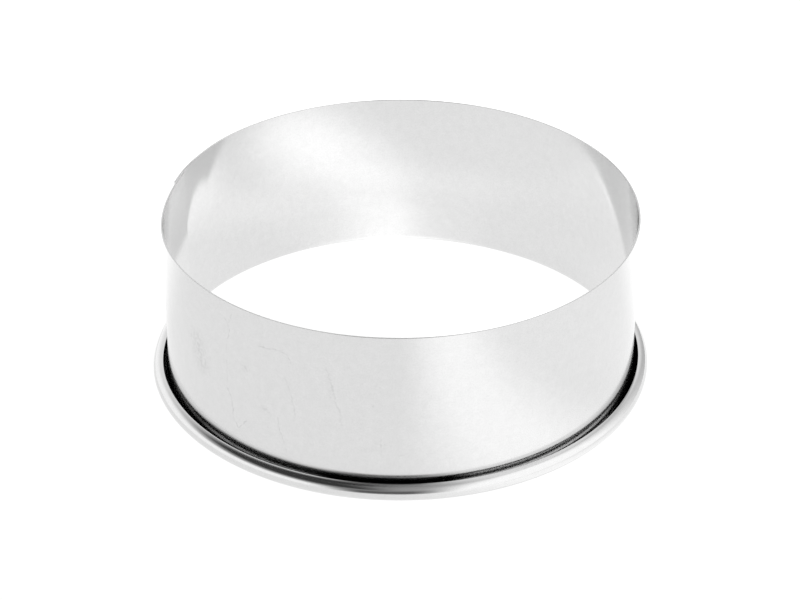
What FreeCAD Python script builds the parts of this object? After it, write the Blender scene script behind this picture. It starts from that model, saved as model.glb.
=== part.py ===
"""A round cookie cutter: one strip of thin steel, rolled to a ring, lapped at its ends and curled at its foot.

Millimetres and degrees. The ring's axis is Z, its cutting edge is at the top, and the curled rim stands
on Z = 0. Angles turn from +X towards +Y, and the photographed front of the ring is its -Y side.
"""
import FreeCAD, Part
import math
import os
import Sketcher

NODE = "cutter_ring"

# Driving dimensions: each name's value and what it measures
DIMENSIONS = {
    "wall_diameter": (101.6, "outside of the wall, a 4 inch cutter"),
    "ring_height": (37.5, "underside of the rim to the cutting edge"),
    "gauge": (0.35, "thickness of the steel strip"),
    "curl_diameter": (3.5, "outside of the tube that the foot is curled into"),
    "curl_slit": (1.05, "gap left between the curl's free edge and the wall"),
    "seam_angle": (166.0, "place of the outer layer's free end"),
    "lap_angle": (5.5, "turn over which the strip's two ends lie on each other"),
    "joggle_angle": (12.0, "turn over which the strip steps out by one gauge to lap the other end"),
}
# Sections that shape the joggle between its two ends
JOGGLE_STEPS = 4

# Formulas for sizes that follow from the driving dimensions
WALL_RADIUS = "Dimensions.wall_diameter / 2"
CURL_RADIUS = "Dimensions.curl_diameter / 2"
CURL_CENTRE = f"{WALL_RADIUS} - Dimensions.gauge + {CURL_RADIUS}"
FREE_EDGE_ANGLE = f"90 deg + asin(1 - (Dimensions.gauge + Dimensions.curl_slit) / ({CURL_RADIUS}))"
LAP_START = "Dimensions.seam_angle - Dimensions.lap_angle"

# Lines and arcs of the section in the order in which a sketch holds them, and the points of each
WALL_INSIDE, CUTTING_EDGE, WALL_OUTSIDE, CURL_INSIDE, FREE_EDGE, CURL_OUTSIDE = range(6)
START, END, CENTRE = 1, 2, 3
AXIS_POINT = (-1, START)


def add_dimensions(doc):
    """The spreadsheet of driving dimensions, one to a row: name, value, meaning."""
    sheet = doc.addObject("Spreadsheet::Sheet", "Dimensions")
    sheet.Label = "driving dimensions"
    for row, (name, (value, meaning)) in enumerate(DIMENSIONS.items(), start=1):
        sheet.set(f"A{row}", name)
        sheet.set(f"B{row}", str(value))
        sheet.set(f"C{row}", meaning)
        sheet.setAlias(f"B{row}", name)
    doc.recompute()
    return sheet


def section_outline(sheet, shift):
    """The strip's section, moved outwards by shift.

    The wall's inside runs on into the outside of the curl. So where one layer lies on another,
    the layer that is further out on the wall has the tighter curl, about the same centre.
    """
    outside = sheet.wall_diameter / 2 + shift
    inside = outside - sheet.gauge
    curl_radius = sheet.curl_diameter / 2
    curl_centre = FreeCAD.Vector(sheet.wall_diameter / 2 - sheet.gauge + curl_radius, curl_radius)
    free_angle = math.pi / 2 + math.asin(1 - (sheet.gauge + sheet.curl_slit) / curl_radius)
    free_direction = FreeCAD.Vector(math.cos(free_angle), math.sin(free_angle))
    inner_radius = curl_centre.x - outside
    outer_radius = curl_centre.x - inside

    def line(first, last):
        return Part.LineSegment(first, last)

    def curl(radius):
        circle = Part.Circle(curl_centre, FreeCAD.Vector(0, 0, 1), radius)
        return Part.ArcOfCircle(circle, math.pi, 2 * math.pi + free_angle)

    inside_foot = FreeCAD.Vector(inside, curl_radius)
    inside_top = FreeCAD.Vector(inside, sheet.ring_height)
    outside_top = FreeCAD.Vector(outside, sheet.ring_height)
    outside_foot = FreeCAD.Vector(outside, curl_radius)
    inner_end = curl_centre + free_direction * inner_radius
    outer_end = curl_centre + free_direction * outer_radius
    return [
        line(inside_foot, inside_top),
        line(inside_top, outside_top),
        line(outside_top, outside_foot),
        curl(inner_radius),
        line(inner_end, outer_end),
        curl(outer_radius),
    ]


def drive(sketch, name, kind, first, second, formula):
    """A named distance between two points of a sketch, set by a formula."""
    gap = sketch.getPoint(*second) - sketch.getPoint(*first)
    value = gap.x if kind == "DistanceX" else gap.y
    index = sketch.addConstraint(Sketcher.Constraint(kind, *first, *second, value))
    sketch.renameConstraint(index, name)
    sketch.setExpression(f"Constraints.{name}", formula)


def add_section(body, sheet, name, turn, outward):
    """A sketch of the strip's section at an angle about the axis.

    turn is the formula for that angle, and outward is the part of one gauge by which the strip is
    moved out there: 0 on the plain ring and 1 where it lies on the strip's other end.
    """
    sketch = body.newObject("Sketcher::SketchObject", name)
    plane = next(item for item in body.Origin.OriginFeatures if item.Role == "XZ_Plane")
    sketch.AttachmentSupport = (plane, "")
    sketch.MapMode = "FlatFace"
    sketch.AttachmentOffset = FreeCAD.Placement(FreeCAD.Vector(), FreeCAD.Rotation(FreeCAD.Vector(0, 1, 0), 1))
    sketch.setExpression("AttachmentOffset.Rotation.Angle", turn)

    sketch.addGeometry(section_outline(sheet, outward * sheet.gauge), False)
    sketch.addConstraint([
        Sketcher.Constraint("Tangent", WALL_INSIDE, START, CURL_OUTSIDE, START),
        Sketcher.Constraint("Coincident", WALL_INSIDE, END, CUTTING_EDGE, START),
        Sketcher.Constraint("Coincident", CUTTING_EDGE, END, WALL_OUTSIDE, START),
        Sketcher.Constraint("Tangent", WALL_OUTSIDE, END, CURL_INSIDE, START),
        Sketcher.Constraint("Coincident", CURL_INSIDE, END, FREE_EDGE, START),
        Sketcher.Constraint("Coincident", FREE_EDGE, END, CURL_OUTSIDE, END),
        Sketcher.Constraint("Coincident", CURL_INSIDE, CENTRE, CURL_OUTSIDE, CENTRE),
        Sketcher.Constraint("PointOnObject", CURL_OUTSIDE, CENTRE, FREE_EDGE),
        Sketcher.Constraint("Vertical", WALL_INSIDE),
        Sketcher.Constraint("Vertical", WALL_OUTSIDE),
        Sketcher.Constraint("Horizontal", CUTTING_EDGE),
    ])
    curl_centre = (CURL_OUTSIDE, CENTRE)
    drive(sketch, "wall_outside", "DistanceX", AXIS_POINT, (WALL_OUTSIDE, START),
          f"{WALL_RADIUS} + {outward} * Dimensions.gauge")
    drive(sketch, "wall_thickness", "DistanceX", (WALL_INSIDE, END), (WALL_OUTSIDE, START), "Dimensions.gauge")
    drive(sketch, "edge_height", "DistanceY", AXIS_POINT, (CUTTING_EDGE, START), "Dimensions.ring_height")
    drive(sketch, "curl_centre_out", "DistanceX", AXIS_POINT, curl_centre, CURL_CENTRE)
    drive(sketch, "curl_centre_up", "DistanceY", AXIS_POINT, curl_centre, CURL_RADIUS)
    edge_line = sketch.Geometry[FREE_EDGE]
    edge_run = edge_line.EndPoint - edge_line.StartPoint
    edge_angle = math.atan2(edge_run.y, edge_run.x)
    index = sketch.addConstraint(Sketcher.Constraint("Angle", FREE_EDGE, edge_angle))
    sketch.renameConstraint(index, "free_edge_angle")
    sketch.setExpression("Constraints.free_edge_angle", FREE_EDGE_ANGLE)
    return sketch


def add_revolution(body, name, sketch, turn):
    """The section of a sketch turned about the ring's axis, towards rising angles."""
    feature = body.newObject("PartDesign::Revolution", name)
    feature.Profile = sketch
    feature.ReferenceAxis = (sketch, ["V_Axis"])
    feature.setExpression("Angle", turn)
    sketch.Visibility = False
    return feature


def add_cutter_ring(doc, sheet):
    """The whole cutter: the plain ring, the joggle and the lapping layer, joined to one strip."""
    body = doc.addObject("PartDesign::Body", "CutterRing")
    body.Label = NODE

    inner_end = add_section(body, sheet, "InnerEnd", LAP_START, 0)
    add_revolution(body, "PlainRing", inner_end, "360 - Dimensions.joggle_angle")

    sections = []
    for step in range(JOGGLE_STEPS + 1):
        share = step / JOGGLE_STEPS
        smooth_share = share * share * (3 - 2 * share)
        turn = f"{LAP_START} - {1 - share} * Dimensions.joggle_angle"
        sections.append(add_section(body, sheet, f"JoggleSection{step}", turn, smooth_share))
    joggle = body.newObject("PartDesign::AdditiveLoft", "Joggle")
    joggle.Profile = sections[0]
    joggle.Sections = sections[1:]
    joggle.Ruled = False
    joggle.Closed = False

    add_revolution(body, "LappingLayer", sections[-1], "Dimensions.lap_angle")
    doc.recompute()
    return body


def check(doc, body):
    """Stop if any object of the document failed, or the ring isn't one sound solid."""
    for item in doc.Objects:
        if "Invalid" in item.State or "Error" in item.State:
            raise RuntimeError(f"{item.Label} failed: {item.State}")
        if item.isDerivedFrom("Sketcher::SketchObject") and not item.FullyConstrained:
            raise RuntimeError(f"{item.Label} isn't fully constrained")
    shape = body.Shape
    if shape.isNull() or not shape.isValid() or len(shape.Solids) != 1:
        raise RuntimeError(f"{body.Label} isn't one valid solid")


def main():
    doc = FreeCAD.newDocument("CookieCutter")
    sheet = add_dimensions(doc)
    body = add_cutter_ring(doc, sheet)
    check(doc, body)
    box = body.Shape.BoundBox
    print(f"{NODE}: {body.Shape.Volume:.1f} mm3, {box.XLength:.2f} x {box.YLength:.2f} x {box.ZLength:.2f} mm")
    os.makedirs("parts", exist_ok=True)
    body.Shape.exportStep(f"parts/{NODE}.step")


main()
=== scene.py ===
"""Looks of a round cookie cutter: bright rolled steel sheet, standing on its curled rim on a white ground.

Metres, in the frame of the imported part: the ring's axis is Z, its curled rim stands on Z = 0, and the
photographed front is -Y. Angles turn from +X towards +Y.
"""
import math

import bpy
from mathutils import Euler, Matrix, Vector


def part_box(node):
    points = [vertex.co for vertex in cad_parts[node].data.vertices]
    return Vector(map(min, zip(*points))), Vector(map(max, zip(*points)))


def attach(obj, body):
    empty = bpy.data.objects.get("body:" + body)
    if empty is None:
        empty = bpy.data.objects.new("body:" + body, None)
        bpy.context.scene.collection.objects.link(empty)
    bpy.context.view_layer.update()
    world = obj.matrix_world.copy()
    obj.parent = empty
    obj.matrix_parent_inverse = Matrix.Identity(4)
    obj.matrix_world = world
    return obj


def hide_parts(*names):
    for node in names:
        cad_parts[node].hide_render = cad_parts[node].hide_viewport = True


MM = 0.001
UP = Vector((0, 0, 1))

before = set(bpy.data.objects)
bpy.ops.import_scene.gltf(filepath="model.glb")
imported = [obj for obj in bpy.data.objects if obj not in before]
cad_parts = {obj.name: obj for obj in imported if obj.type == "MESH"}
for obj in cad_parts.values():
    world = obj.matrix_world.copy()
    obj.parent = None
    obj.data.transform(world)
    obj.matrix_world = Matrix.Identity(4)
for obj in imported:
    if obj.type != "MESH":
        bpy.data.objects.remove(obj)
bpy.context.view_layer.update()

# Sizes of the strip, as in the part's source
GAUGE = 0.35 * MM
CURL_RADIUS = 1.75 * MM
CURL_SLIT = 1.05 * MM
LAP_START = math.radians(160.5)
LAP_ANGLE = math.radians(5.5)
JOGGLE_ANGLE = math.radians(12)
# The hair's breadth between the lapped ends, which shows as a dark line
LAP_GAP = 0.015 * MM
# Over the seam the ring is a little flat: where that is deepest, from which height up, how deep it is
# and how far it reaches
FLAT_ANGLE = math.radians(168.5)
FLAT_FOOT = 12 * MM
FLAT_DEPTH = 1.0 * MM
FLAT_REACH = 27 * MM

# The rim is the widest part of the frame's box, and the wall stands one curl inside it
rim_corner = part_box("cutter_ring")[1]
RING_HEIGHT = rim_corner.z
RIM_RADIUS = rim_corner.x
WALL_INSIDE = RIM_RADIUS - 2 * CURL_RADIUS
CURL_CENTRE = Vector((WALL_INSIDE + CURL_RADIUS, 0, CURL_RADIUS))

# Fineness of the mesh: the turn from one column of faces to the next, and the faces of a column on the curl
# and on the wall
COLUMN_TURN = math.radians(1)
CURL_FACES = 64
WALL_ROWS = 12
# How near to a line across the ring a vertex is picked: for the flat, and for one column
FLAT_PICK = 0.5 * MM
COLUMN_PICK = 0.1 * MM
# Edges sharper than this angle are broken by this much, so that they catch the light
EDGE_BREAK_ANGLE = math.radians(40)
EDGE_BREAK = 0.05 * MM
EDGE_BREAK_STEPS = 2
SMOOTH_ANGLE = math.radians(15)

# Steel where it is clean, the painted shade inside the curl, and steel where the shear has torn it
CLEAN_STEEL = "#DEDEDE"
CURL_SHADE_COLOUR = "#14120F"
SHEARED_STEEL = "#E0E0E0"
STEEL_ROUGHNESS = 0.13
SHEARED_ROUGHNESS = 0.35
# The rolled grain draws reflections out: how strongly, and which way, as a share of a full turn
GRAIN_STRETCH = 0.6
GRAIN_TURN = 0.25
# How much painted shade darkens the curl, from pairs of heading (degrees to the right of the front) and
# share
CURL_SHADE = [(-80, 0.85), (-58, 0.85), (-48, 0.1), (-24, 0.1), (-17, 1), (12, 1), (19, 0), (60, 0), (68, 0.8),
        (80, 1)]
# The outside belongs to the curl, and not to the wall, from this many mm outside the lap
PAST_LAP = 0.1
# Blotches of the grain: their size in mm, and how much darker the darkest are
GRAIN = [(0.35, 0.045), (1.6, 0.03)]
# Values of the noise between which a blotch turns from dark to bright, and a mark's pressure from its least
# to its full
BLOTCH_DARK = 0.3
BLOTCH_BRIGHT = 0.7
PRESSURE_LEAST = 0.4
PRESSURE_FULL = 0.6
# A mark wavers and is pressed unevenly: waves to the mm of each, how far it wavers in mm, and the lightest
# pressure as a share of the full one
WAVER_WAVES = 0.9
WAVER = 0.9
PRESSURE_WAVES = 1.3
LEAST_SHARE = 0.15

# Marks on the wall's outside: depth, width, then points as arc to the right of the front and height, in mm
MARKS = [
    (0.15, 0.24, [(-38.8, 33.6), (-37.9, 32.5), (-37.4, 31.1), (-38.1, 28.9)]),
    (0.11, 0.20, [(-36.7, 35.2), (-37.6, 32.9)]),
    (0.09, 0.22, [(-38.5, 28.2), (-38.6, 25.3)]),
    (0.06, 0.30, [(-38.7, 23.3), (-38.7, 18.0)]),
    (0.13, 0.26, [(-38.8, 16.7), (-38.0, 15.4), (-37.5, 12.9), (-37.4, 10.0), (-36.0, 8.1), (-33.7, 10.9)]),
    (0.11, 0.24, [(-29.6, 30.3), (-27.4, 30.6), (-24.8, 30.9), (-23.3, 30.5), (-22.4, 28.8)]),
    (0.09, 0.26, [(-23.9, 25.1), (-23.0, 22.5), (-22.6, 20.9), (-21.8, 18.0), (-21.9, 14.8)]),
    (0.09, 0.24, [(-25.8, 14.6), (-25.4, 11.5), (-24.3, 8.5), (-23.9, 6.6)]),
    (0.08, 0.40, [(-14.9, 29.2), (-14.3, 27.8), (-13.7, 25.6), (-13.0, 21.4), (-12.2, 19.6), (-11.8, 16.1)]),
    (0.05, 0.90, [(-14.4, 27.0), (-13.6, 22.0)]),
    (0.14, 0.35, [(-5.3, 21.5), (-5.3, 21.3)]),
    (0.09, 0.22, [(-3.9, 14.0), (-3.8, 9.4)]),
    (0.08, 0.22, [(-3.1, 12.3), (-1.7, 12.1)]),
    (0.08, 0.22, [(-0.4, 9.5), (0.6, 9.7)]),
    (0.12, 4.50, [(-48.4, 23.0), (-47.2, 19.0)]),
    (0.09, 1.50, [(-33.7, 23.8), (-33.5, 23.6)]),
    (0.09, 1.40, [(-28.9, 15.7), (-28.7, 15.5)]),
    (0.07, 1.20, [(-28.9, 30.8), (-28.7, 30.7)]),
]

# The paper: metres across, linear colour, and how much of what it gives is painted light
FLOOR_SIZE = 8
PAPER_COLOUR = (0.9, 0.9, 0.9, 1)
PAINTED_LIGHT_SHARE = 0.95
# Painted light outside the ring, as pairs of place in mm and strength: towards the back, what is added to
# the right, and what is added from the middle of a painted strip outwards
BACK_LIGHT = ((5, 1.03), (45, 1.3))
RIGHT_LIGHT = ((20, 0), (70, 0.077))
STRIP_LIGHT = ((4, 0.276), (36, 0))
# The middle of that strip, as pairs of Y and X in mm
STRIP_MIDDLE = ((-50, 33), (50, -2))
# Painted light inside the ring: its strength, and painted pools of more, each with its centre and pairs of
# distance in mm and strength
INSIDE_LIGHT = 1.078
POOLS = [((24, 8, 0), (2, 0.385), (28, 0)), ((9, 8, 0), (2, 0.154), (15, 0))]
# The paper's shine: its share by distance in mm from one point, and in a wedge, whose share starts over a
# run of Y and whose half width grows with Y
SHINE_FOCUS = (3, 21, 0)
FOCUS_SHINE = ((3, 0.38), (13, 0))
WEDGE_SHINE = 0.4
WEDGE_MIDDLE = -3.5
WEDGE_START = ((21, 0), (28, 1))
WEDGE_HALF_WIDTH = ((26, 6), (48, 33))
# How far the paper leans to the right where it shines, as pairs of Y in mm and slope
SHINE_SLOPE = ((24, 0.22), (34, 0.34))
SHINE_ROUGHNESS = 0.25

# Brightness of the room where its tone is 1, and its tones by how far up one looks, from 0 to 1
ROOM_LEVEL = 1.22
FRONT_TONES = [(0, 0.4), (0.1, 0.2), (0.3, 0.08), (0.5, 0.11), (0.7, 0.25), (0.85, 0.34), (1, 0.3)]
BACK_TONES = [(0, 1), (0.3, 0.9), (0.55, 0.8), (0.7, 0.45), (0.85, 0.12), (1, 0.25)]
# How much of each part of the room there is: pairs of how far one looks to the back, right or up, where
# left is less than 0, and share
ROOM_BEHIND = ((0.1, 0), (0.6, 1))
DARK_LEFT = ((0.05, 0), (-0.25, 1))
DARK_ABOVE = ((0.68, 0), (0.8, 1))
LEFT_PANEL_SIDE = ((-0.25, 0), (-0.65, 1))
LEFT_PANEL_BELOW = ((0.72, 0), (0.4, 1))
RIGHT_SIDE = ((0.05, 0), (0.5, 1))
# Tones of those parts. The right side's falls off towards the back, as pairs of how far back and tone
DARK_TONE = 0.04
LEFT_PANEL_TONE = 1
RIGHT_SIDE_TONES = ((0.1, 1.1), (0.8, 0.5))

# The lamp: metres across, watts, metres away, and the angles to it, right of the front and up from the floor
LAMP_SIZE = 0.4
LAMP_POWER = 4
LAMP_DISTANCE = 0.8
LAMP_HEADING = math.radians(30)
LAMP_HEIGHT = math.radians(50)

# The photograph's camera, as the ring's edges give it. Angles in degrees, lens and sensor in mm
CAMERA_LENS = 113.96
CAMERA_SENSOR = 36
CAMERA_PITCH = 31.70
CAMERA_ROLL = -0.1
CAMERA_DISTANCE = 547.5 * MM
LOOK_AT_HEIGHT = 14.94 * MM


def linear(hex_colour):
    """A colour written as sRGB hex, as the linear values that a shader takes."""
    def channel(value):
        return value / 12.92 if value <= 0.04045 else ((value + 0.055) / 1.055) ** 2.4
    parts = [int(hex_colour[i:i + 2], 16) / 255 for i in (1, 3, 5)]
    return [channel(value) for value in parts] + [1]


def add(tree, kind, links=None, **settings):
    """One node: its settings by name, its inputs by name or number, as values, nodes or nodes' outputs."""
    node = tree.nodes.new(kind)
    for name, value in settings.items():
        setattr(node, name, value)
    for name, value in (links or {}).items():
        if isinstance(value, bpy.types.Node):
            value = value.outputs[0]
        if isinstance(value, bpy.types.NodeSocket):
            tree.links.new(value, node.inputs[name])
        else:
            node.inputs[name].default_value = value
    return node


def ramp(tree, position, stops):
    """Tones along a line, from pairs of place and tone in rising order."""
    node = add(tree, "ShaderNodeValToRGB", {0: position})
    elements = node.color_ramp.elements
    while len(elements) < len(stops):
        elements.new(0.5)
    for element, (place, tone) in zip(elements, stops):
        element.position = place
        element.color = (tone, tone, tone, 1)
    return node


def fade(tree, value, first, last, kind="SMOOTHSTEP"):
    """Go from one tone to another, given as pairs of value and tone, and hold them beyond."""
    return add(tree, "ShaderNodeMapRange", {0: value, 1: first[0], 2: last[0], 3: first[1], 4: last[1]},
               interpolation_type=kind)


def select_vertices(mesh, wanted):
    """In edit mode, select the vertices whose place fits and no others."""
    bpy.ops.mesh.select_all(action="DESELECT")
    bpy.ops.object.mode_set(mode="OBJECT")
    for vertex in mesh.vertices:
        vertex.select = wanted(vertex.co)
    bpy.ops.object.mode_set(mode="EDIT")


def turn_about_axis(turn, steps):
    """Spin the selected column on round the ring. Its last copy stays selected."""
    bpy.ops.mesh.spin(steps=steps, angle=turn, center=(0, 0, 0), axis=-UP, use_auto_merge=False)


def step_out(distance):
    """Move the selected column out of the ring by a distance, square to the sheet."""
    bpy.ops.transform.shrink_fatten(value=-distance)


def flatten_seam(mesh):
    """Push the wall in where it is flattest, and let the rest of the ring follow less and less."""
    outwards = Vector((math.cos(FLAT_ANGLE), math.sin(FLAT_ANGLE), 0))
    select_vertices(mesh, lambda place: place.z > FLAT_FOOT and outwards.dot(place) > 0
                    and outwards.cross(place).z ** 2 < FLAT_PICK ** 2)
    bpy.ops.transform.translate(value=-FLAT_DEPTH * outwards, use_proportional_edit=True,
                                proportional_edit_falloff="SMOOTH", proportional_size=FLAT_REACH)


def roll_strip():
    """The strip's inner face, without thickness: wall line, curl, then the ring, its joggle and its lap."""
    bpy.ops.object.select_all(action="DESELECT")
    wall_height = RING_HEIGHT - CURL_RADIUS
    wall_middle = (WALL_INSIDE + wall_height / 2, 0, CURL_RADIUS + wall_height / 2)
    bpy.ops.mesh.primitive_plane_add(size=wall_height, rotation=(math.pi / 2, 0, 0), location=wall_middle)
    strip = bpy.context.object
    strip.name = "rolled_strip"
    bpy.ops.object.transform_apply(location=True, rotation=True, scale=True)
    bpy.ops.object.mode_set(mode="EDIT")
    bpy.context.tool_settings.mesh_select_mode = (True, False, False)

    # One side of the plane is kept as the wall's line
    select_vertices(strip.data, lambda place: place.x > WALL_INSIDE + wall_height / 2)
    bpy.ops.mesh.delete(type="VERT")
    bpy.ops.mesh.select_all(action="SELECT")
    bpy.ops.mesh.subdivide(number_cuts=WALL_ROWS - 1)

    # Its foot is curled out, up and back towards the wall
    select_vertices(strip.data, lambda place: place.z < CURL_RADIUS + wall_height / WALL_ROWS / 2)
    curl_turn = 1.5 * math.pi + math.asin(1 - (GAUGE + CURL_SLIT) / CURL_RADIUS)
    bpy.ops.mesh.spin(steps=CURL_FACES, angle=curl_turn, center=CURL_CENTRE, axis=(0, 1, 0))

    # The section is turned to the seam and from there round the ring to the joggle
    bpy.ops.mesh.select_all(action="SELECT")
    bpy.ops.transform.rotate(value=-LAP_START, orient_axis="Z", center_override=(0, 0, 0))
    plain_turn = 2 * math.pi - JOGGLE_ANGLE
    turn_about_axis(plain_turn, round(plain_turn / COLUMN_TURN))
    bpy.ops.mesh.select_all(action="SELECT")
    bpy.ops.mesh.normals_make_consistent(inside=True)
    joggle_start = Vector((math.cos(LAP_START - JOGGLE_ANGLE), math.sin(LAP_START - JOGGLE_ANGLE), 0))
    select_vertices(strip.data, lambda place: joggle_start.dot(place) > 0
                    and joggle_start.cross(place).z ** 2 < COLUMN_PICK ** 2)

    # Over the joggle each new column stands a little further out, and the lap stays out by one gauge
    lap_step = GAUGE + LAP_GAP
    joggle_columns = round(JOGGLE_ANGLE / COLUMN_TURN)
    reached = 0
    for column in range(1, joggle_columns + 1):
        share = column / joggle_columns
        wanted = lap_step * share * share * (3 - 2 * share)
        turn_about_axis(COLUMN_TURN, 1)
        step_out(wanted - reached)
        reached = wanted
    turn_about_axis(LAP_ANGLE, round(LAP_ANGLE / COLUMN_TURN))
    flatten_seam(strip.data)
    bpy.ops.object.mode_set(mode="OBJECT")
    return strip


def thicken(strip):
    """Give the sheet its gauge, towards the outside of the wall, and break its sheared edges."""
    solidify = strip.modifiers.new("Gauge", "SOLIDIFY")
    solidify.thickness = GAUGE
    solidify.offset = -1
    solidify.use_even_offset = True
    solidify.material_offset = 1
    solidify.material_offset_rim = 2
    bevel = strip.modifiers.new("Edge break", "BEVEL")
    bevel.width = EDGE_BREAK
    bevel.segments = EDGE_BREAK_STEPS
    bevel.limit_method = "ANGLE"
    bevel.angle_limit = EDGE_BREAK_ANGLE
    for modifier in ("Gauge", "Edge break"):
        bpy.ops.object.modifier_apply(modifier=modifier)
    bpy.ops.object.shade_smooth_by_angle(angle=SMOOTH_ANGLE)


def place_in_mm(tree):
    """The place on the object in mm, with X to the right, Y to the back and Z up."""
    place = add(tree, "ShaderNodeTexCoord")
    return add(tree, "ShaderNodeVectorMath", {0: place.outputs["Object"], 1: (1000, 1000, 1000)},
               operation="MULTIPLY")


def grain(tree, place):
    """How clean the sheet is from blotch to blotch: 1 where it is brightest."""
    tone = 1
    for size, depth in GRAIN:
        noise = add(tree, "ShaderNodeTexNoise", {"Vector": place, "Scale": 1 / size, "Detail": 2})
        blotch = fade(tree, noise, (BLOTCH_DARK, 1 - depth), (BLOTCH_BRIGHT, 1), "LINEAR")
        tone = add(tree, "ShaderNodeMath", {0: tone, 1: blotch}, operation="MULTIPLY")
    return tone


def heading_of(tree, place):
    """The angle from the ring's front to a place on it, in radians to the right."""
    x, y = add(tree, "ShaderNodeSeparateXYZ", {0: place}).outputs[:2]
    front = add(tree, "ShaderNodeMath", {0: y, 1: -1}, operation="MULTIPLY")
    return add(tree, "ShaderNodeMath", {0: x, 1: front}, operation="ARCTAN2")


def distance_to_path(tree, point, points):
    """How far a place on a plane lies from the nearest place on a path from point to point."""
    nearest = 1000
    corners = [Vector((right, up, 0)) for right, up in points]
    for start, end in zip(corners, corners[1:]):
        run = end - start
        offset = add(tree, "ShaderNodeVectorMath", {0: point, 1: start}, operation="SUBTRACT")
        along = add(tree, "ShaderNodeVectorMath", {0: offset, 1: run / run.length_squared},
                    operation="DOT_PRODUCT")
        share = add(tree, "ShaderNodeClamp", {0: along.outputs["Value"]})
        foot = add(tree, "ShaderNodeVectorMath", {0: run, "Scale": share}, operation="SCALE")
        away = add(tree, "ShaderNodeVectorMath", {0: offset, 1: foot}, operation="DISTANCE")
        nearest = add(tree, "ShaderNodeMath", {0: nearest, 1: away.outputs["Value"]}, operation="MINIMUM")
    return nearest


def marks_of_use(tree, place, heading):
    """What scratches and smudges leave of the wall's brightness, each on its path over the unrolled wall."""
    arc = add(tree, "ShaderNodeMath", {0: heading, 1: (WALL_INSIDE + GAUGE) / MM}, operation="MULTIPLY")
    height = add(tree, "ShaderNodeSeparateXYZ", {0: place}).outputs["Z"]
    unrolled = add(tree, "ShaderNodeCombineXYZ", {0: arc, 1: height})
    noise = add(tree, "ShaderNodeTexNoise", {"Vector": unrolled, "Scale": WAVER_WAVES, "Detail": 4})
    centred = add(tree, "ShaderNodeVectorMath", {0: noise.outputs["Color"], 1: (0.5, 0.5, 0.5)},
                  operation="SUBTRACT")
    waver = add(tree, "ShaderNodeVectorMath", {0: centred, 1: (WAVER, WAVER, 0)}, operation="MULTIPLY")
    point = add(tree, "ShaderNodeVectorMath", {0: unrolled, 1: waver}, operation="ADD")
    press = add(tree, "ShaderNodeTexNoise", {"Vector": unrolled, "Scale": PRESSURE_WAVES})
    pressure = fade(tree, press, (PRESSURE_LEAST, LEAST_SHARE), (PRESSURE_FULL, 1), "LINEAR")
    tone = 1
    for depth, width, points in MARKS:
        nearest = distance_to_path(tree, point, points)
        touched = fade(tree, nearest, (0, depth), (width, 0))
        lost = add(tree, "ShaderNodeMath", {0: touched, 1: pressure}, operation="MULTIPLY")
        left = add(tree, "ShaderNodeMath", {0: 1, 1: lost}, operation="SUBTRACT")
        tone = add(tree, "ShaderNodeMath", {0: tone, 1: left}, operation="MULTIPLY")
    return tone


def painted_shade_in_curl(tree, steel, place, heading):
    """The steel's colour, with painted shade darkening the inside of the curl by a share that changes with
    heading.
    """
    x, y = add(tree, "ShaderNodeSeparateXYZ", {0: place}).outputs[:2]
    level = add(tree, "ShaderNodeCombineXYZ", {0: x, 1: y})
    from_axis = add(tree, "ShaderNodeVectorMath", {0: level}, operation="LENGTH")
    curl_start = (WALL_INSIDE + 2 * GAUGE) / MM + PAST_LAP
    in_curl = add(tree, "ShaderNodeMath", {0: from_axis.outputs["Value"], 1: curl_start},
                  operation="GREATER_THAN")
    share = fade(tree, heading, (-math.pi, 0), (math.pi, 1), "LINEAR")
    shade_by_heading = ramp(tree, share, [(0.5 + degrees / 360, amount) for degrees, amount in CURL_SHADE])
    # Painted shade: the share of the dark colour at this place in the curl
    shade_amount = add(tree, "ShaderNodeMath", {0: in_curl, 1: shade_by_heading}, operation="MULTIPLY")
    shade_colour = linear(CURL_SHADE_COLOUR)[:3]
    above_shade = add(tree, "ShaderNodeVectorMath", {0: steel, 1: shade_colour}, operation="SUBTRACT")
    unshaded_share = add(tree, "ShaderNodeMath", {0: 1, 1: shade_amount}, operation="SUBTRACT")
    kept = add(tree, "ShaderNodeVectorMath", {0: above_shade, "Scale": unshaded_share}, operation="SCALE")
    return add(tree, "ShaderNodeVectorMath", {0: kept, 1: shade_colour}, operation="ADD")


def bright_steel(name, outside):
    """Bright rolled sheet: a soft, even grey mirror. Its outside is marked, and painted shade darkens the
    curl.
    """
    material = bpy.data.materials.new(name)
    material.use_nodes = True
    tree = material.node_tree
    shader = tree.nodes["Principled BSDF"]
    shader.inputs["Metallic"].default_value = 1
    shader.inputs["Roughness"].default_value = STEEL_ROUGHNESS
    shader.inputs["Anisotropic"].default_value = GRAIN_STRETCH
    shader.inputs["Anisotropic Rotation"].default_value = GRAIN_TURN
    tangent = add(tree, "ShaderNodeTangent", direction_type="RADIAL", axis="Z")
    tree.links.new(tangent.outputs[0], shader.inputs["Tangent"])
    place = place_in_mm(tree)
    tone = grain(tree, place)
    if outside:
        heading = heading_of(tree, place)
        unmarked = marks_of_use(tree, place, heading)
        tone = add(tree, "ShaderNodeMath", {0: tone, 1: unmarked}, operation="MULTIPLY")
    steel = add(tree, "ShaderNodeVectorMath", {0: linear(CLEAN_STEEL)[:3], "Scale": tone}, operation="SCALE")
    if outside:
        # Painted shade darkens the inside of the curl
        steel = painted_shade_in_curl(tree, steel, place, heading)
    tree.links.new(steel.outputs[0], shader.inputs["Base Color"])
    return material


def sheared_edge():
    """The strip's cut edge: the same steel, torn by the shear and so duller."""
    material = bpy.data.materials.new("sheared_steel_edge")
    material.use_nodes = True
    shader = material.node_tree.nodes["Principled BSDF"]
    shader.inputs["Base Color"].default_value = linear(SHEARED_STEEL)
    shader.inputs["Metallic"].default_value = 1
    shader.inputs["Roughness"].default_value = SHEARED_ROUGHNESS
    return material


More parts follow.
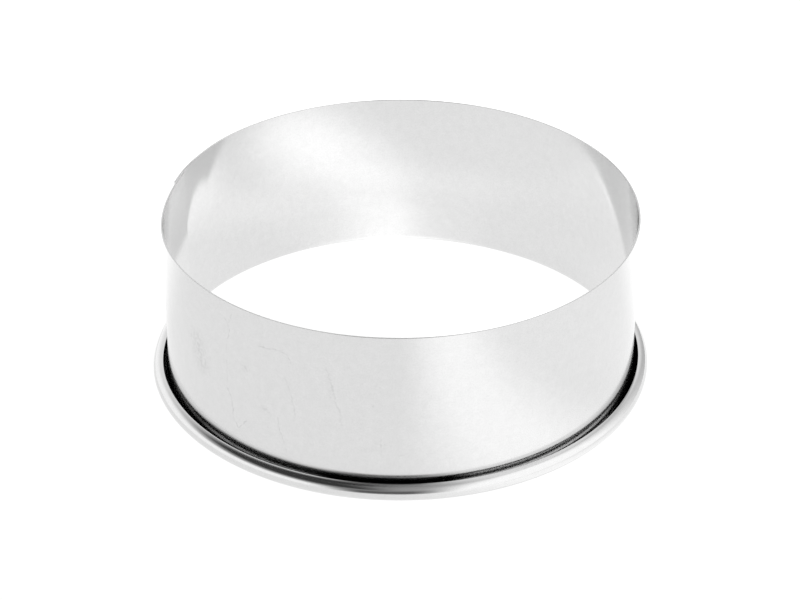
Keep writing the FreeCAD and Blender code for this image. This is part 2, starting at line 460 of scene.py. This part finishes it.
def painted_light_outside(tree, x, y):
    """Strength of the painted light outside the ring. It grows to the back, and a painted strip of more
    crosses it.
    """
    backward = fade(tree, y, *BACK_LIGHT)
    rightward = fade(tree, x, *RIGHT_LIGHT, "LINEAR")
    base = add(tree, "ShaderNodeMath", {0: backward, 1: rightward}, operation="ADD")
    strip_middle = fade(tree, y, *STRIP_MIDDLE, "LINEAR")
    across = add(tree, "ShaderNodeMath", {0: x, 1: strip_middle}, operation="SUBTRACT")
    off_strip = add(tree, "ShaderNodeMath", {0: across}, operation="ABSOLUTE")
    strip_light = fade(tree, off_strip, *STRIP_LIGHT)
    return add(tree, "ShaderNodeMath", {0: base, 1: strip_light}, operation="ADD")


def painted_light_inside(tree, place):
    """Strength of the light painted on the paper inside the ring, with its painted pools."""
    light = INSIDE_LIGHT
    for centre, near, far in POOLS:
        away = add(tree, "ShaderNodeVectorMath", {0: place, 1: centre}, operation="DISTANCE")
        pool = fade(tree, away.outputs["Value"], near, far)
        light = add(tree, "ShaderNodeMath", {0: light, 1: pool}, operation="ADD")
    return light


def shine_at_back(tree, place, x, y):
    """The paper's shine at the back, near one point and in a wedge behind it. It leans to the right."""
    away = add(tree, "ShaderNodeVectorMath", {0: place, 1: SHINE_FOCUS}, operation="DISTANCE")
    focus_share = fade(tree, away.outputs["Value"], *FOCUS_SHINE)
    across = add(tree, "ShaderNodeMath", {0: x, 1: WEDGE_MIDDLE}, operation="SUBTRACT")
    off_wedge = add(tree, "ShaderNodeMath", {0: across}, operation="ABSOLUTE")
    half_width = fade(tree, y, *WEDGE_HALF_WIDTH, "LINEAR")
    wedge_side = fade(tree, off_wedge, (0, WEDGE_SHINE), (half_width, 0))
    wedge_start = fade(tree, y, *WEDGE_START)
    wedge_share = add(tree, "ShaderNodeMath", {0: wedge_side, 1: wedge_start}, operation="MULTIPLY")
    share = add(tree, "ShaderNodeMath", {0: focus_share, 1: wedge_share}, operation="MAXIMUM")
    slope = fade(tree, y, *SHINE_SLOPE, "LINEAR")
    lean = add(tree, "ShaderNodeCombineXYZ", {0: slope, 2: 1})
    return add(tree, "ShaderNodeBsdfGlossy", {"Color": share, "Roughness": SHINE_ROUGHNESS, "Normal": lean})


def paper_floor():
    """White paper. Its painted light is uneven but all of it is past white, so only the steel shows it."""
    bpy.ops.object.select_all(action="DESELECT")
    bpy.ops.mesh.primitive_plane_add(size=FLOOR_SIZE)
    floor = bpy.context.object
    floor.name = "paper_floor"
    material = bpy.data.materials.new("white_paper")
    material.use_nodes = True
    tree = material.node_tree
    tree.nodes.clear()
    place = place_in_mm(tree)
    x, y = add(tree, "ShaderNodeSeparateXYZ", {0: place}).outputs[:2]
    from_axis = add(tree, "ShaderNodeVectorMath", {0: place}, operation="LENGTH")
    outside = add(tree, "ShaderNodeMath", {0: from_axis.outputs["Value"], 1: RIM_RADIUS / MM},
                  operation="GREATER_THAN")
    inside_light = painted_light_inside(tree, place)
    outside_light = painted_light_outside(tree, x, y)
    light = add(tree, "ShaderNodeMix", {0: outside, 2: inside_light, 3: outside_light})
    white = add(tree, "ShaderNodeBsdfDiffuse", {"Color": PAPER_COLOUR})
    # Painted light: the paper glows with the uneven strength painted above
    painted_glow = add(tree, "ShaderNodeEmission", {"Strength": light})
    paper = add(tree, "ShaderNodeMixShader", {0: PAINTED_LIGHT_SHARE, 1: white, 2: painted_glow})
    shine = shine_at_back(tree, place, x, y)
    surface = add(tree, "ShaderNodeAddShader", {0: paper, 1: shine})
    add(tree, "ShaderNodeOutputMaterial", {"Surface": surface})
    floor.data.materials.append(material)


def soft_room():
    """A soft room, dim in front and bright low down behind. It lights the scene and the steel mirrors it."""
    world = bpy.data.worlds.new("soft_room")
    bpy.context.scene.world = world
    world.use_nodes = True
    tree = world.node_tree
    tree.nodes.clear()
    toward = add(tree, "ShaderNodeTexCoord").outputs["Generated"]
    right, back, up = add(tree, "ShaderNodeSeparateXYZ", {0: toward}).outputs
    front_tone = ramp(tree, up, FRONT_TONES)
    back_tone = ramp(tree, up, BACK_TONES)
    behind = fade(tree, back, *ROOM_BEHIND)
    room = add(tree, "ShaderNodeMix", {0: behind, 2: front_tone, 3: back_tone})
    # Up on the left it is nearly black
    leftward = fade(tree, right, *DARK_LEFT)
    upward = fade(tree, up, *DARK_ABOVE)
    upper_left = add(tree, "ShaderNodeMath", {0: leftward, 1: upward}, operation="MULTIPLY")
    room = add(tree, "ShaderNodeMix", {0: upper_left, 2: room, 3: DARK_TONE})
    # A bright panel stands on the left, below that dark
    panel_side = fade(tree, right, *LEFT_PANEL_SIDE)
    panel_below = fade(tree, up, *LEFT_PANEL_BELOW)
    left_panel = add(tree, "ShaderNodeMath", {0: panel_side, 1: panel_below}, operation="MULTIPLY")
    room = add(tree, "ShaderNodeMix", {0: left_panel, 2: room, 3: LEFT_PANEL_TONE})
    # The right side is bright at every height
    right_side = fade(tree, right, *RIGHT_SIDE)
    right_tone = fade(tree, back, *RIGHT_SIDE_TONES, "LINEAR")
    room = add(tree, "ShaderNodeMix", {0: right_side, 2: room, 3: right_tone})
    background = add(tree, "ShaderNodeBackground", {"Color": room, "Strength": ROOM_LEVEL})
    add(tree, "ShaderNodeOutputWorld", {"Surface": background})


def key_lamp():
    """A soft lamp at the front right, which lights the paper. The steel doesn't mirror it."""
    lamp_data = bpy.data.lights.new("key_lamp", "AREA")
    lamp_data.size = LAMP_SIZE
    lamp_data.energy = LAMP_POWER
    lamp = bpy.data.objects.new("key_lamp", lamp_data)
    bpy.context.scene.collection.objects.link(lamp)
    level = math.cos(LAMP_HEIGHT)
    away = Vector((math.sin(LAMP_HEADING) * level, -math.cos(LAMP_HEADING) * level, math.sin(LAMP_HEIGHT)))
    lamp.location = away * LAMP_DISTANCE
    lamp.rotation_euler = away.to_track_quat("Z", "Y").to_euler()
    lamp.visible_glossy = False


def photo_camera():
    """The camera that the ring's edges in the photograph give."""
    camera_data = bpy.data.cameras.new("camera")
    camera_data.lens = CAMERA_LENS
    camera_data.sensor_width = CAMERA_SENSOR
    camera = bpy.data.objects.new("camera", camera_data)
    bpy.context.scene.collection.objects.link(camera)
    bpy.context.scene.camera = camera
    tilt = math.radians(90 - CAMERA_PITCH)
    roll = math.radians(CAMERA_ROLL)
    turned = Euler((tilt, 0, 0)).to_matrix() @ Matrix.Rotation(roll, 3, "Z")
    look_at = Vector((0, 0, LOOK_AT_HEIGHT))
    camera.location = look_at + turned @ Vector((0, 0, CAMERA_DISTANCE))
    camera.rotation_euler = turned.to_euler()


strip = roll_strip()
for material in (bright_steel("rolled_steel_inside", False), bright_steel("rolled_steel_outside", True),
                 sheared_edge()):
    strip.data.materials.append(material)
thicken(strip)
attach(strip, "root")
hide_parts("cutter_ring")

paper_floor()
soft_room()
key_lamp()
photo_camera()
bpy.context.scene.view_settings.view_transform = "Standard"
